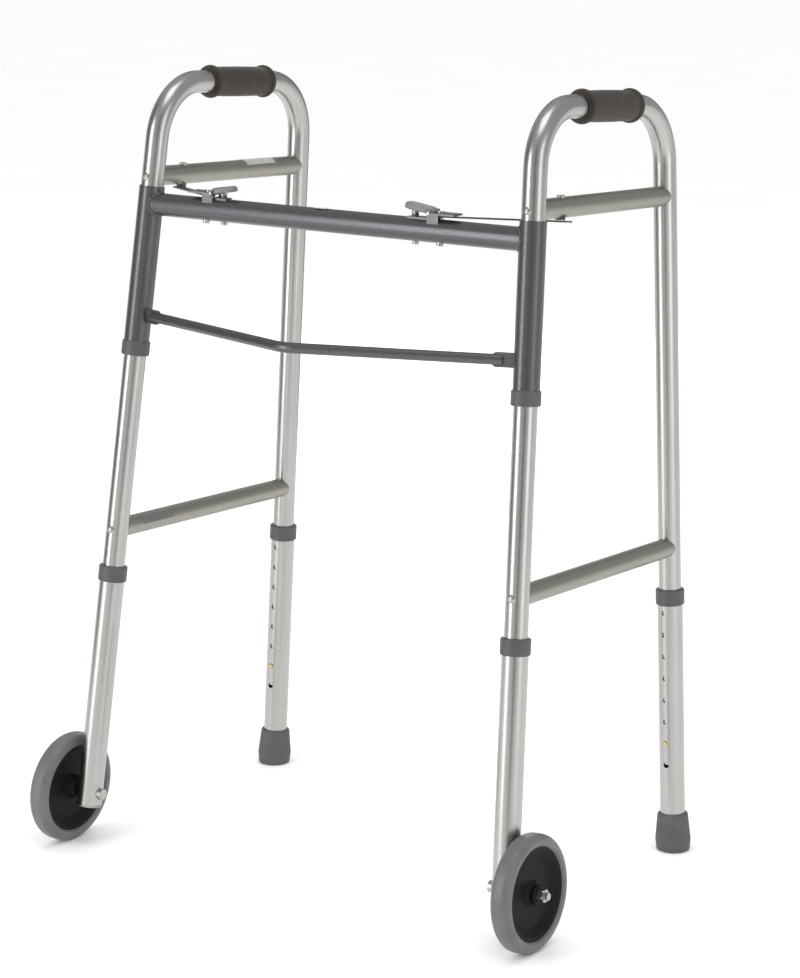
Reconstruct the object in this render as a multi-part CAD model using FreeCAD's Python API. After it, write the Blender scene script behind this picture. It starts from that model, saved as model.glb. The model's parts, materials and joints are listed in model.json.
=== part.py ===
import FreeCAD, Part
import math
import os
from FreeCAD import Vector

# Front wheeled folding walker, in millimetres.
#
# +Z is up, the user walks towards -Y, +X is the user's right.  The origin lies on the floor, under
# the middle of the whole frame.  The right side is modelled and the left side is its mirror image,
# apart from the two fold latches, which sit at their own distances from the legs.
#
# Each side frame is flat.  Its points are given by u, the distance rearward of the front leg's foot,
# and v, the distance up the side plane from the floor.  Each side plane leans inward going up.

os.makedirs("parts", exist_ok=True)

# ---- frame layout ----------------------------------------------------------------------------
foot_half_width = 284.9        # from the middle plane to the side plane, at the floor
lean_inward = 2.62             # degrees that the side planes lean towards each other
front_leg_rake = 7.76          # degrees that a front leg leans rearward going up
rear_leg_rake = 0.95           # degrees that a rear leg leans rearward going up
rear_leg_foot = 368.1          # u of the rear leg's foot
hand_height = 860.0            # v of the hand bar's axis at its middle
hand_middle = 260.0            # u of the middle of the hand bar
hand_slope = 4.35              # degrees that the hand bar falls towards the rear
hand_bend_radius = 67.0        # centreline radius of the two upper bends

# ---- tubes -----------------------------------------------------------------------------------
frame_tube = 25.4              # outer diameter of the side frame's tube
frame_wall = 1.25
brace_tube = 22.2
brace_wall = 1.2
outer_wall = 1.54              # wall of the sleeves and leg extensions
crossbar_tube = 25.4
crossbar_wall = 1.4
rail_rod = 11.7                # lower front rail
slip_gap = 0.06                # radial clearance of a tube that slides or turns in another
outer_tube = frame_tube + 2 * (slip_gap + outer_wall)
flat_tolerance = 0.01          # an edge within this of a plane lies in it
cut_reach = 40.0               # cutters run this far, well past what they cut
collar_edge = 1.2              # bevel on the rims of the plastic collars

# ---- braces, sleeves, crossbar and rail ----------------------------------------------------------
upper_brace_front = 766.0      # v where each brace's axis meets the leg's axis
upper_brace_rear = 750.8
lower_brace_front = 368.4
lower_brace_rear = 354.7
sleeve_top = 755.4
sleeve_bottom = 582.4
sleeve_collar_height = 16.5
sleeve_collar_diameter = outer_tube + 3.3
crossbar_level = 735.8
rail_level = 612.0
rail_reach = 75.0              # how far the rail's middle stands forward of its ends
rail_bend_radius = 40.0
rail_tab_length = 24.0
rail_tab_height = 15.5
rail_tab_thickness = 4.5
rail_tab_rounding = 5.0
rail_tab_root = 8.0            # the tabs start this far inside the sleeves, before they are cut
rail_end_offset = 3.0          # the tabs sit this far forward of the sleeves' axes

# ---- leg extensions --------------------------------------------------------------------------
hole_pitch = 25.4
hole_count = 8
button_hole = 6                # the button is in this hole, counted from 0 at the top
first_hole_drop = 8.4          # from the collar's lower face to the first hole
button_diameter = 6.2
button_gap = 0.15
button_dome_height = 2.0
button_dome_radius = 0.62 * button_diameter
button_foot_diameter = 8.8
button_foot_thickness = 1.2
button_foot_depth = 2.6        # from the frame tube's bore to the foot's inner face
button_stand = 1.8             # how far the button stands out of the extension
button_travel = 4.2
inner_tube_beyond_button = 25.0
snap_leaf_width = 6.0
snap_leaf_thickness = 0.5
snap_leaf_length = 30.0
snap_leaf_tail = 6.0           # the leaf runs on past the button by this
snap_leaf_gap = 0.05
front_collar_top = 326.1
rear_collar_top = 306.8
collar_height = 18.2
collar_diameter = outer_tube + 4.0
collar_lip = 2.0
front_tube_end = 48.0          # v of the front extension's lower end
end_plug_diameter = outer_tube + 2.4
end_plug_flange = 1.5
end_plug_depth = 9.0
end_plug_wall = 2.0
end_plug_floor = 0.5
end_plug_edge = 0.5            # bevel on the flange's rim
rear_tube_end = 8.0            # v of the rear extension's lower end, inside its tip

# ---- rear tips -------------------------------------------------------------------------------
tip_height = 44.0
tip_top_diameter = outer_tube + 5.4
tip_sole_diameter = outer_tube + 12.0
tip_sole_inset = 1.2           # the sole is narrower than the widest part by this, all round
tip_sole_rounding = 2.0
tip_sole_spare = 3.0           # extra length below the floor, before the sole is cut flat
tip_rim_height = 3.0
tip_rim_flare = 0.6
tip_edge = 1.5
tip_bulge = 13.0               # height above the floor where the tip is widest

# ---- wheels ----------------------------------------------------------------------------------
wheel_diameter = 127.0
tyre_width = 23.0
tyre_depth = 13.0
tyre_rounding = 8.0
wheel_offset = 29.5            # from the leg's axis out to the wheel's middle plane
rim_width = 18.0
rim_depth = 5.0
web_thickness = 5.0
boss_diameter = 21.0
boss_length = 25.0
boss_edge = 1.5
rim_draft = 1.0                # taper of the rim's inner side
boss_skirt = 4.0               # cone between the boss and the web
dish_slope = 8.0               # width of the slope between the rim and the web
bush_diameter = 12.0
bush_seat = 3.0                # the bush starts this far inside the leg's round, before it is cut
bush_end_gap = 0.4             # the bush stands past each end of the boss by this
axle_diameter = 8.0
axle_head = 13.0               # across the round head on the inner side of the leg
axle_head_height = 4.5
axle_head_sink = 2.0           # the head starts this far inside the leg's round, before it is cut
axle_head_edge = 1.6
axle_nut_height = 7.0
axle_nut_flats = 13.0
nut_cone_base = 1.16           # the nut's corners are cut by a cone, in shares of its radius
nut_cone_top = 0.92
axle_thread_stand = 4.0

# ---- grips and fasteners ---------------------------------------------------------------------
grip_length = 113.0
grip_middle = 256.0            # u of the grip's middle
grip_waist = 35.0
grip_end_diameter = 38.4
grip_end_length = 9.0
grip_end_edge = 2.0
grip_end_shoulder = 3.0
rivet_diameter = 4.8
rivet_head = 9.6
rivet_head_height = 2.4
rivet_seat_depth = 0.4         # the dome's rim lies this far below the leg's crown
rivet_head_plug = 3.0          # how deep the head starts, before it is cut to the leg
rivet_overlap = 0.8
rivet_tail_length = 2.0
rivet_tail_diameter = 7.68
rivet_past_leg = 8.0           # how far the rivet reaches into the brace

# ---- fold latches ----------------------------------------------------------------------------
# distances inboard of the leg's axis, along the crossbar
latches = {
    "right": {"pivot": 113.0, "stud": 32.0, "paddle_end": 44.0, "fold": 63.0},
    "left": {"pivot": 83.0, "stud": 20.5, "paddle_end": 38.0, "fold": 77.0},
}
link_bolt_radius = 53.0        # from the leg's axis to the bolt under the upper brace
link_level = 15.4              # the link's middle plane over the crossbar's axis, at its pivot
link_width = 14.0
link_thickness = 2.0
link_tail = 13.0               # the link runs on past the bolt by this
link_slot_width = 6.6
link_bolt_diameter = 6.0
link_bolt_gap = 0.4            # open gap between the bolt's end and the link
link_bolt_head = 9.0
link_bolt_head_height = 1.8
link_bolt_head_stand = 0.4     # the head's underside stands over the brace's crown by this
link_bolt_head_sink = 3.0      # how deep the head starts, before it is cut to the brace
link_bolt_head_edge = 0.4
spacer_diameter = 11.0
pivot_pin_diameter = 5.0
pivot_head_diameter = 8.4
pivot_head_height = 1.6
pivot_head_sink = 1.5          # how deep the head starts, before it is cut to the cap
pivot_tail_diameter = 7.4
pivot_tail_length = 6.0        # before it is cut to the crossbar
pivot_tail_stand = 2.4
bracket_plate = 1.2
bracket_half_width = 9.6
bracket_wall = 1.6
bracket_ear_length = 4.4
bracket_ear_top = 22.4         # over the crossbar's axis
bracket_skirt_level = 7.0      # the saddle and ears reach down to this over the crossbar's axis
bracket_strip_half_width = 5.5
bracket_strip_past_stud = 7.0
bracket_wall_outboard = 2.5     # the front wall reaches this far outboard of the link's pivot
bracket_cap_bottom = 18.0      # over the crossbar's axis
bracket_cap_top = 19.8
bracket_cap_outboard = 22.0    # the cap reaches this far outboard of the link's pivot
bracket_cap_inboard = 4.0
paddle_axis_inboard = 9.5      # from the link's pivot to the paddle's pin
paddle_axis_level = 19.5
paddle_pin_diameter = 3.0
paddle_pin_stand = 1.0
paddle_lug_radius = 3.0
paddle_outer_gap = 6.0         # from the link's pivot to the paddle's outer end
paddle_side_gap = 0.3          # between the paddle and the bracket's ears
paddle_slot_half_length = 4.0
paddle_slot_top = 23.2         # over the crossbar's axis
paddle_top_rounding = 3.4
paddle_low_rounding = 1.4
paddle_width = 17.0
paddle_thickness = 6.4
paddle_tilt = 8.5
paddle_bottom_at_axis = 18.0
stud_diameter = 4.8
stud_gap = 0.3                 # between the stud's end and the paddle
stud_travel = 2.0
stud_tail = 3.6                # how far the stud stands out below the crossbar
stud_flange_diameter = 8.4
stud_flange_height = 1.2
stud_flange_level = 19.4       # highest place of the flange's top, over the crossbar's axis
stud_flange_gap = 0.4          # and it stays this far below the stud's end
clip_diameter = 7.4
clip_thickness = 1.6
clip_inset = 0.8               # from the stud's lower end
spring_gap = 0.3
spring_diameter = 7.6


# ---- shared geometry -------------------------------------------------------------------------
def tan_deg(angle):
    return math.tan(math.radians(angle))


lean = math.radians(lean_inward)
plane_out = Vector(math.cos(lean), 0, math.sin(lean))     # outward normal of the right side plane
plane_up = Vector(-math.sin(lean), 0, math.cos(lean))
rearward = Vector(0, 1, 0)
wheel_radius = wheel_diameter / 2
axle_height = (wheel_radius - tyre_rounding) * math.cos(lean) + tyre_rounding
axle_v = (axle_height - wheel_offset * math.sin(lean)) / math.cos(lean)


def front_u(v):
    return v * tan_deg(front_leg_rake)


def rear_u(v):
    return rear_leg_foot + v * tan_deg(rear_leg_rake)


front_reach = front_u(axle_v) - wheel_radius
hand_dir_u = math.cos(math.radians(hand_slope))
hand_dir_v = -math.sin(math.radians(hand_slope))


def meet_hand_bar(leg_u, rake):
    """Where the hand bar's line meets a leg's line, as (u, v)."""
    slope = hand_dir_v / hand_dir_u
    v = (hand_height + slope * (leg_u - hand_middle)) / (1 - slope * tan_deg(rake))
    return leg_u + v * tan_deg(rake), v


front_corner = meet_hand_bar(0.0, front_leg_rake)
rear_corner = meet_hand_bar(rear_leg_foot, rear_leg_rake)
rear_bend_turn = math.radians(90 + rear_leg_rake - hand_slope)
rear_bend_start = rear_corner[1] - hand_bend_radius * math.tan(rear_bend_turn / 2)
rear_reach = rear_u(rear_bend_start) + frame_tube / 2
middle_y = (front_reach + rear_reach) / 2


def side_point(u, v, out=0.0):
    base = Vector(foot_half_width, u - middle_y, 0)
    return base + plane_up * v + plane_out * out


def side_direction(u, v):
    return (rearward * u + plane_up * v).normalize()


front_axis = side_direction(tan_deg(front_leg_rake), 1)
rear_axis = side_direction(tan_deg(rear_leg_rake), 1)
front_rearward = plane_out.cross(front_axis).normalize() * -1
rear_rearward = plane_out.cross(rear_axis).normalize() * -1


def front_point(v):
    return side_point(front_u(v), v)


def rear_point(v):
    return side_point(rear_u(v), v)


def cylinder(start, end, diameter):
    run = end - start
    return Part.makeCylinder(diameter / 2, run.Length, start, run)


def tube(start, end, outer, inner):
    past = (end - start).normalize()
    return cylinder(start, end, outer).cut(cylinder(start - past, end + past, inner))


def box(low, high):
    return Part.makeBox(high.x - low.x, high.y - low.y, high.z - low.z, low)


def turned(points, base, axis, across):
    """A solid turned about an axis from its half section, given as (radius, distance along)."""
    corners = [base + across * r + axis * z for r, z in points]
    face = Part.Face(Part.makePolygon(corners + corners[:1]))
    return face.revolve(base, axis, 360)


def frame_of(origin, x_direction, z_direction):
    """The placement that puts a shape drawn at the origin on these axes."""
    x = Vector(x_direction).normalize()
    z = Vector(z_direction).normalize()
    y = z.cross(x)
    matrix = FreeCAD.Matrix(x.x, y.x, z.x, origin.x, x.y, y.y, z.y, origin.y,
                            x.z, y.z, z.z, origin.z, 0, 0, 0, 1)
    return FreeCAD.Placement(matrix)


def placed(shape, placement):
    moved = shape.copy()
    moved.Placement = placement.multiply(moved.Placement)
    return moved


def mirrored(shape):
    return shape.mirror(Vector(0, 0, 0), Vector(1, 0, 0))


def solid_of(shape):
    """The one solid of a finished shape, with its split faces joined."""
    clean = shape.removeSplitter()
    if len(clean.Solids) != 1:
        raise ValueError(f"expected one solid, found {len(clean.Solids)}")
    return clean.Solids[0]


parts = {}


def add(name, shape):
    parts[name] = shape


def add_pair(name, shape):
    add("right_" + name, shape)
    add("left_" + name, mirrored(shape))


# ---- side frame ------------------------------------------------------------------------------
front_button_v = front_collar_top - collar_height - first_hole_drop - hole_pitch * button_hole
rear_button_v = rear_collar_top - collar_height - first_hole_drop - hole_pitch * button_hole
front_tube_start = front_button_v - inner_tube_beyond_button
rear_tube_start = rear_button_v - inner_tube_beyond_button


def bend(corner, before, after, radius):
    """Tangent points and middle point of a bend, from three points of its two lines."""
    arriving = (corner - before).normalize()
    leaving = (after - corner).normalize()
    turn = arriving.getAngle(leaving)
    reach = radius * math.tan(turn / 2)
    start = corner - arriving * reach
    end = corner + leaving * reach
    inward = (leaving - arriving).normalize()
    middle = corner + inward * (radius / math.cos(turn / 2) - radius)
    return start, middle, end


def bent_path(points, radii):
    """Straight runs joined by tangent arcs, one at each inner point."""
    edges = []
    here = points[0]
    for k, radius in enumerate(radii, start=1):
        start, middle, end = bend(points[k], points[k - 1], points[k + 1], radius)
        edges.append(Part.LineSegment(here, start).toShape())
        edges.append(Part.Arc(start, middle, end).toShape())
        here = end
    edges.append(Part.LineSegment(here, points[-1]).toShape())
    return Part.Wire(edges)


def rod_along(path, start, direction, diameter):
    ring = Part.Wire(Part.makeCircle(diameter / 2, start, direction))
    return path.makePipeShell([ring], True, False)


def bent_tube(points, radii, outer, inner):
    path = bent_path(points, radii)
    direction = points[1] - points[0]
    body = rod_along(path, points[0], direction, outer)
    if inner:
        body = body.cut(rod_along(path, points[0], direction, inner))
    return body


def side_tube():
    corners = [front_point(front_tube_start), side_point(*front_corner),
               side_point(*rear_corner), rear_point(rear_tube_start)]
    radii = [hand_bend_radius, hand_bend_radius]
    body = bent_tube(corners, radii, frame_tube, frame_tube - 2 * frame_wall)
    hole = button_diameter + 2 * button_gap
    body = body.cut(cylinder(front_point(front_button_v),
                             front_point(front_button_v) + front_rearward * frame_tube, hole))
    body = body.cut(cylinder(rear_point(rear_button_v),
                             rear_point(rear_button_v) - rear_rearward * frame_tube, hole))
    for front_v, rear_v in brace_levels:
        for rivet in brace_rivet_shanks(front_v, rear_v):
            body = body.cut(rivet)
    return solid_of(body)


brace_levels = [(upper_brace_front, upper_brace_rear), (lower_brace_front, lower_brace_rear)]


def brace(front_v, rear_v):
    start = front_point(front_v)
    end = rear_point(rear_v)
    body = tube(start, end, brace_tube, brace_tube - 2 * brace_wall)
    for low, high in ((front_point(0), front_point(hand_height)),
                      (rear_point(0), rear_point(hand_height))):
        body = body.cut(cylinder(low, high, frame_tube))
    # keep the piece between the legs
    pieces = sorted(body.Solids, key=lambda s: s.Volume)
    return pieces[-1]


def brace_rivet_ends(front_v, rear_v):
    """Each rivet's point on its leg's axis, its direction into the brace and the leg's axis."""
    start = front_point(front_v)
    end = rear_point(rear_v)
    along = (end - start).normalize()
    return ((start, along, front_axis), (end, along * -1, rear_axis))


rivet_reach = frame_tube / 2 + rivet_past_leg


def brace_rivet_shanks(front_v, rear_v):
    return [cylinder(at - inward * frame_tube, at + inward * rivet_reach, rivet_diameter)
            for at, inward, leg_axis in brace_rivet_ends(front_v, rear_v)]


def domed_head(seat, outward, across, diameter, height, depth):
    """A low dome on a short plug that reaches depth below the seat."""
    half = diameter / 2
    radius = (half ** 2 + height ** 2) / (2 * height)
    rise = height - radius + math.sqrt(radius ** 2 - half ** 2 / 4)
    top = seat + outward * height
    shoulder = seat + across * (half / 2) + outward * rise
    rim = seat + across * half
    low_rim = rim - outward * depth
    low_middle = seat - outward * depth
    edges = [Part.Arc(top, shoulder, rim).toShape(), Part.LineSegment(rim, low_rim).toShape(),
             Part.LineSegment(low_rim, low_middle).toShape(),
             Part.LineSegment(low_middle, top).toShape()]
    return Part.Face(Part.Wire(edges)).revolve(seat, outward, 360)


def rivet(at, inward, leg_axis):
    """A domed rivet through a leg, with its upset end inside the brace."""
    seat = at - inward * (frame_tube / 2 - rivet_seat_depth)
    leg = cylinder(at - leg_axis * cut_reach, at + leg_axis * cut_reach, frame_tube)
    head = domed_head(seat, inward * -1, plane_out, rivet_head, rivet_head_height, rivet_head_plug)
    head = max(head.cut(leg).Solids, key=lambda s: s.Volume)
    tip = at + inward * rivet_reach
    shank = cylinder(seat - inward * rivet_overlap, tip, rivet_diameter)
    tail = cylinder(tip - inward * rivet_tail_length, tip, rivet_tail_diameter)
    return solid_of(shank.fuse([head, tail]))


def brace_rivets():
    solids = []
    for front_v, rear_v in brace_levels:
        for at, inward, leg_axis in brace_rivet_ends(front_v, rear_v):
            solids.append(rivet(at, inward, leg_axis))
    return Part.makeCompound(solids)


def grip():
    """A soft grip on the hand bar, with a rounded flange at each end."""
    along = side_direction(hand_dir_u, hand_dir_v)
    past_middle = (grip_middle - hand_middle) / hand_dir_u
    middle = side_point(hand_middle, hand_height) + along * past_middle
    start = middle - along * (grip_length / 2)
    bore = frame_tube / 2
    waist = grip_waist / 2
    flange = grip_end_diameter / 2
    last = grip_length
    edge = grip_end_edge
    shoulder = grip_end_length - grip_end_shoulder
    outline = [(bore, 0), (flange - edge, 0), (flange, edge), (flange, shoulder),
               (waist, grip_end_length), (waist, last - grip_end_length),
               (flange, last - shoulder), (flange, last - edge), (flange - edge, last), (bore, last)]
    return solid_of(turned(outline, start, along, plane_out))


# ---- leg extensions --------------------------------------------------------------------------
def leg_hole(button_v, k, point, outward):
    """One button hole, k pitches above the button's own hole."""
    axis = (point(1) - point(0)).normalize()
    at = point(button_v) + axis * (hole_pitch * k)
    return cylinder(at, at + outward * outer_tube, button_diameter + 2 * button_gap)


def extension_tube(point, start_v, collar_top, button_v, outward):
    axis = (point(1) - point(0)).normalize()
    end = point(collar_top) - axis * collar_lip
    body = tube(point(start_v), end, outer_tube, frame_tube + 2 * slip_gap)
    for k in range(hole_count):
        body = body.cut(leg_hole(button_v, button_hole - k, point, outward))
    return body


def extension_collar(point, collar_top):
    axis = (point(1) - point(0)).normalize()
    top = point(collar_top)
    rim = collar_edge
    outer = collar_diameter / 2
    outline = [(frame_tube / 2 + slip_gap, 0), (outer - rim, 0), (outer, -rim),
               (outer, rim - collar_height), (outer - rim, -collar_height),
               (outer_tube / 2, -collar_height), (outer_tube / 2, -collar_lip),
               (frame_tube / 2 + slip_gap, -collar_lip)]
    return solid_of(turned(outline, top, axis, plane_out))


def snap_button(point, button_v, outward):
    """A domed button with a foot that stays inside the frame tube."""
    at = point(button_v)
    head_end = outer_tube / 2 + button_stand
    bore = frame_tube / 2 - frame_wall
    foot_start = bore - button_foot_depth
    foot_end = foot_start + button_foot_thickness
    past_head = head_end + button_dome_height
    dome = Part.makeSphere(button_dome_radius, at + outward * (head_end - button_dome_radius))
    stem = cylinder(at + outward * (foot_start + button_foot_thickness / 2),
                    at + outward * past_head, button_diameter)
    cut_off = cylinder(at + outward * (head_end - button_dome_height),
                       at + outward * (past_head + button_dome_height), 2 * button_diameter)
    head = stem.cut(cut_off).fuse(stem.common(dome).common(cut_off))
    foot = cylinder(at + outward * foot_start, at + outward * foot_end, button_foot_diameter)
    return solid_of(head.fuse(foot))



def snap_spring(point, button_v, outward):
    """A U-shaped leaf inside the frame tube that pushes the button out."""
    axis = (point(1) - point(0)).normalize()
    bore = frame_tube / 2 - frame_wall
    front = bore - button_foot_depth
    back = -math.sqrt(bore ** 2 - snap_leaf_width ** 2 / 4) + snap_leaf_gap
    radius = (front - back) / 2
    middle = (front + back) / 2
    thin = snap_leaf_thickness
    legs = []
    for low, high in ((front - thin, front), (back, back + thin)):
        legs.append(box(Vector(low, -snap_leaf_width / 2, -snap_leaf_tail),
                        Vector(high, snap_leaf_width / 2, snap_leaf_length)))
    ring_base = Vector(middle, -snap_leaf_width / 2, snap_leaf_length)
    across = Vector(0, 1, 0)
    ring = Part.makeCylinder(radius, snap_leaf_width, ring_base, across)
    ring = ring.cut(Part.makeCylinder(radius - thin, snap_leaf_width, ring_base, across))
    upper = box(Vector(back - thin, -bore, snap_leaf_length),
                Vector(front + thin, bore, snap_leaf_length + 2 * radius))
    leaf = legs[0].fuse([legs[1], ring.common(upper)])
    return solid_of(placed(leaf, frame_of(point(button_v), outward, axis)))


# ---- rear tip --------------------------------------------------------------------------------
def rear_tip():
    """A rubber foot over the rear extension, with its sole flat on the floor."""
    base = rear_point(0)
    top = tip_top_diameter / 2
    sole = tip_sole_diameter / 2
    bore = outer_tube / 2
    floor = rear_tube_end
    foot = sole - tip_sole_inset
    outline = [(0, -tip_sole_spare), (foot, -tip_sole_spare), (foot, 0), (sole, tip_bulge),
               (top + tip_rim_flare, tip_height - tip_rim_height), (top, tip_height - tip_edge),
               (top - tip_edge, tip_height), (bore, tip_height), (bore, floor), (0, floor)]
    body = turned(outline, base, rear_axis, plane_out)
    corner = Vector(1, 1, 0) * hand_height
    body = body.cut(box(corner * -1 - Vector(0, 0, tip_height), corner))
    sole_edges = [e for e in body.Edges if e.BoundBox.ZMax < flat_tolerance]
    return solid_of(body.makeFillet(tip_sole_rounding, sole_edges))


# ---- wheels ----------------------------------------------------------------------------------
wheel_centre = side_point(front_u(axle_v), axle_v, wheel_offset)
leg_at_axle = side_point(front_u(axle_v), axle_v)
bush_start = outer_tube / 2 - wheel_offset
bush_end = boss_length / 2 + bush_end_gap


def tyre():
    outer = wheel_radius
    inner = wheel_radius - tyre_depth
    half = tyre_width / 2
    r = tyre_rounding
    bevel = 2.0
    corners = [Vector(inner, 0, -half + bevel), Vector(inner + bevel, 0, -half),
               Vector(outer - r, 0, -half), Vector(outer, 0, -half + r), Vector(outer, 0, half - r),
               Vector(outer - r, 0, half), Vector(inner + bevel, 0, half),
               Vector(inner, 0, half - bevel)]
    bulge = r * (1 - math.sqrt(0.5))
    low = Vector(outer - bulge, 0, -half + bulge)
    high = Vector(outer - bulge, 0, half - bulge)
    edges = [Part.LineSegment(corners[0], corners[1]).toShape(),
             Part.LineSegment(corners[1], corners[2]).toShape(),
             Part.Arc(corners[2], low, corners[3]).toShape(),
             Part.LineSegment(corners[3], corners[4]).toShape(),
             Part.Arc(corners[4], high, corners[5]).toShape(),
             Part.LineSegment(corners[5], corners[6]).toShape(),
             Part.LineSegment(corners[6], corners[7]).toShape(),
             Part.LineSegment(corners[7], corners[0]).toShape()]
    ring = Part.Face(Part.Wire(edges)).revolve(Vector(0, 0, 0), Vector(0, 0, 1), 360)
    return solid_of(placed(ring, frame_of(wheel_centre, rearward, plane_out)))


def hub():
    """A moulded hub: rim, recessed web and a boss that turns on the bush."""
    rim = wheel_radius - tyre_depth
    half_rim = rim_width / 2
    half_web = web_thickness / 2
    boss = boss_diameter / 2
    half_boss = boss_length / 2
    bore = bush_diameter / 2 + slip_gap
    edge = boss_edge
    outline = [(bore, -half_boss), (boss - edge, -half_boss), (boss, -half_boss + edge),
               (boss + boss_skirt, -half_web), (rim - rim_depth - dish_slope, -half_web),
               (rim - rim_depth + rim_draft, -half_rim), (rim, -half_rim), (rim, half_rim),
               (rim - rim_depth + rim_draft, half_rim), (rim - rim_depth - dish_slope, half_web),
               (boss + boss_skirt, half_web), (boss, half_web + boss_skirt),
               (boss, half_boss - edge), (boss - edge, half_boss), (bore, half_boss)]
    return solid_of(turned(outline, wheel_centre, plane_out, rearward))


def hexagon(base, axis, across_flats, height):
    placement = frame_of(base, rearward, axis)
    radius = across_flats / math.sqrt(3)
    corners = [Vector(radius * math.cos(math.radians(60 * k)),
                      radius * math.sin(math.radians(60 * k)), 0) for k in range(7)]
    prism = Part.Face(Part.makePolygon(corners)).extrude(Vector(0, 0, height))
    cone = Part.makeCone(radius * nut_cone_base, radius * nut_cone_top, height)
    return placed(prism.common(cone), placement)


def on_axle(distance):
    """A point on the axle, measured outward from the wheel's middle plane."""
    return wheel_centre + plane_out * distance


def leg_cutter():
    """The round of the leg extension about the axle."""
    return cylinder(leg_at_axle - front_axis * cut_reach, leg_at_axle + front_axis * cut_reach,
                    outer_tube)


def axle_bolt():
    inner_face = -outer_tube / 2 - wheel_offset
    nut_end = bush_end + axle_nut_height
    shank = cylinder(on_axle(inner_face - axle_head_height / 2),
                     on_axle(nut_end + axle_thread_stand), axle_diameter)
    head = cylinder(on_axle(inner_face - axle_head_height), on_axle(inner_face + axle_head_sink),
                    axle_head)
    head = head.makeFillet(axle_head_edge, [e for e in head.Edges if e.Length > axle_head][:1])
    leg = leg_cutter()
    return solid_of(shank.fuse(head.cut(leg)))


def axle_nut():
    body = hexagon(on_axle(bush_end), plane_out, axle_nut_flats, axle_nut_height)
    return solid_of(body.cut(cylinder(on_axle(0), on_axle(cut_reach), axle_diameter)))


def wheel_bush():
    body = cylinder(on_axle(bush_start - bush_seat), on_axle(bush_end), bush_diameter)
    body = body.cut(cylinder(on_axle(-cut_reach), on_axle(cut_reach), axle_diameter))
    return max(body.cut(leg_cutter()).Solids, key=lambda s: s.Volume)


def front_extension_tube():
    body = extension_tube(front_point, front_tube_end, front_collar_top, front_button_v,
                          front_rearward)
    return solid_of(body.cut(cylinder(on_axle(-2 * wheel_offset), on_axle(0), axle_diameter)))


def end_plug():
    """A hollow plug pushed into the front extension's lower end, with a thin flange."""
    rim = end_plug_diameter / 2
    stem = frame_tube / 2 + slip_gap
    edge = end_plug_edge
    bore = stem - end_plug_wall
    outline = [(0, -end_plug_flange), (rim - edge, -end_plug_flange), (rim, edge - end_plug_flange),
               (rim, -edge), (rim - edge, 0), (stem, 0), (stem, end_plug_depth),
               (bore, end_plug_depth), (bore, end_plug_floor), (0, end_plug_floor)]
    return solid_of(turned(outline, front_point(front_tube_end), front_axis, plane_out))


def rear_extension_tube():
    return solid_of(extension_tube(rear_point, rear_tube_end, rear_collar_top, rear_button_v,
                                   rear_rearward * -1))


# ---- front brace -----------------------------------------------------------------------------
bar_centre = Vector(0, front_u(crossbar_level) - middle_y, crossbar_level * math.cos(lean))
leg_x_at_bar = foot_half_width - crossbar_level * math.sin(lean)


def sleeve():
    return tube(front_point(sleeve_bottom), front_point(sleeve_top), outer_tube,
                frame_tube + 2 * slip_gap)


def sleeve_collar():
    """A plastic ring on the leg that the sleeve stands on."""
    outer = sleeve_collar_diameter / 2
    rim = collar_edge
    height = sleeve_collar_height
    outline = [(frame_tube / 2, 0), (outer - rim, 0), (outer, -rim), (outer, rim - height),
               (outer - rim, -height), (frame_tube / 2, -height)]
    return solid_of(turned(outline, front_point(sleeve_bottom), front_axis, plane_out))


def sleeve_cutters(diameter):
    right = cylinder(front_point(sleeve_bottom - cut_reach), front_point(sleeve_top + cut_reach), diameter)
    return [right, mirrored(right)]


def crossbar():
    left_end = bar_centre - Vector(leg_x_at_bar, 0, 0)
    right_end = bar_centre + Vector(leg_x_at_bar, 0, 0)
    body = tube(left_end, right_end, crossbar_tube, crossbar_tube - 2 * crossbar_wall)
    for cutter in sleeve_cutters(outer_tube):
        body = body.cut(cutter)
    body = max(body.Solids, key=lambda s: s.Volume)
    for side in latches:
        latch = Latch(side)
        holes = [latch.stud_hole(), latch.pivot_hole()]
        for hole in holes:
            body = body.cut(hole if side == "right" else mirrored(hole))
    return solid_of(body)


rail_z = rail_level * math.cos(lean)
rail_end = Vector(foot_half_width - rail_level * math.sin(lean) - outer_tube / 2,
                  front_u(rail_level) - middle_y - rail_end_offset, rail_z)


def lower_rail():
    """A round rod bowed forward, with a flat tab at each end on the sleeve's inner side."""
    apex = Vector(0, rail_end.y - rail_reach, rail_z)
    inward = (apex - rail_end).normalize()
    rod_end = rail_end + inward * (rail_tab_length * 0.5)
    left_rod_end = Vector(-rod_end.x, rod_end.y, rod_end.z)
    body = bent_tube([left_rod_end, apex, rod_end], [rail_bend_radius], rail_rod, 0)
    tab = box(Vector(-rail_tab_root, -rail_tab_thickness / 2, -rail_tab_height / 2),
              Vector(rail_tab_length, rail_tab_thickness / 2, rail_tab_height / 2))
    upright = [e for e in tab.Edges if abs(e.Vertexes[0].Y - e.Vertexes[1].Y) > 1
               and e.Vertexes[0].X > 0]
    tab = placed(tab.makeFillet(rail_tab_rounding, upright), frame_of(rail_end, inward, Vector(0, 0, 1)))
    body = body.fuse([tab, mirrored(tab)])
    for cutter in sleeve_cutters(outer_tube):
        body = body.cut(cutter)
    return solid_of(max(body.Solids, key=lambda s: s.Volume))


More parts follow.
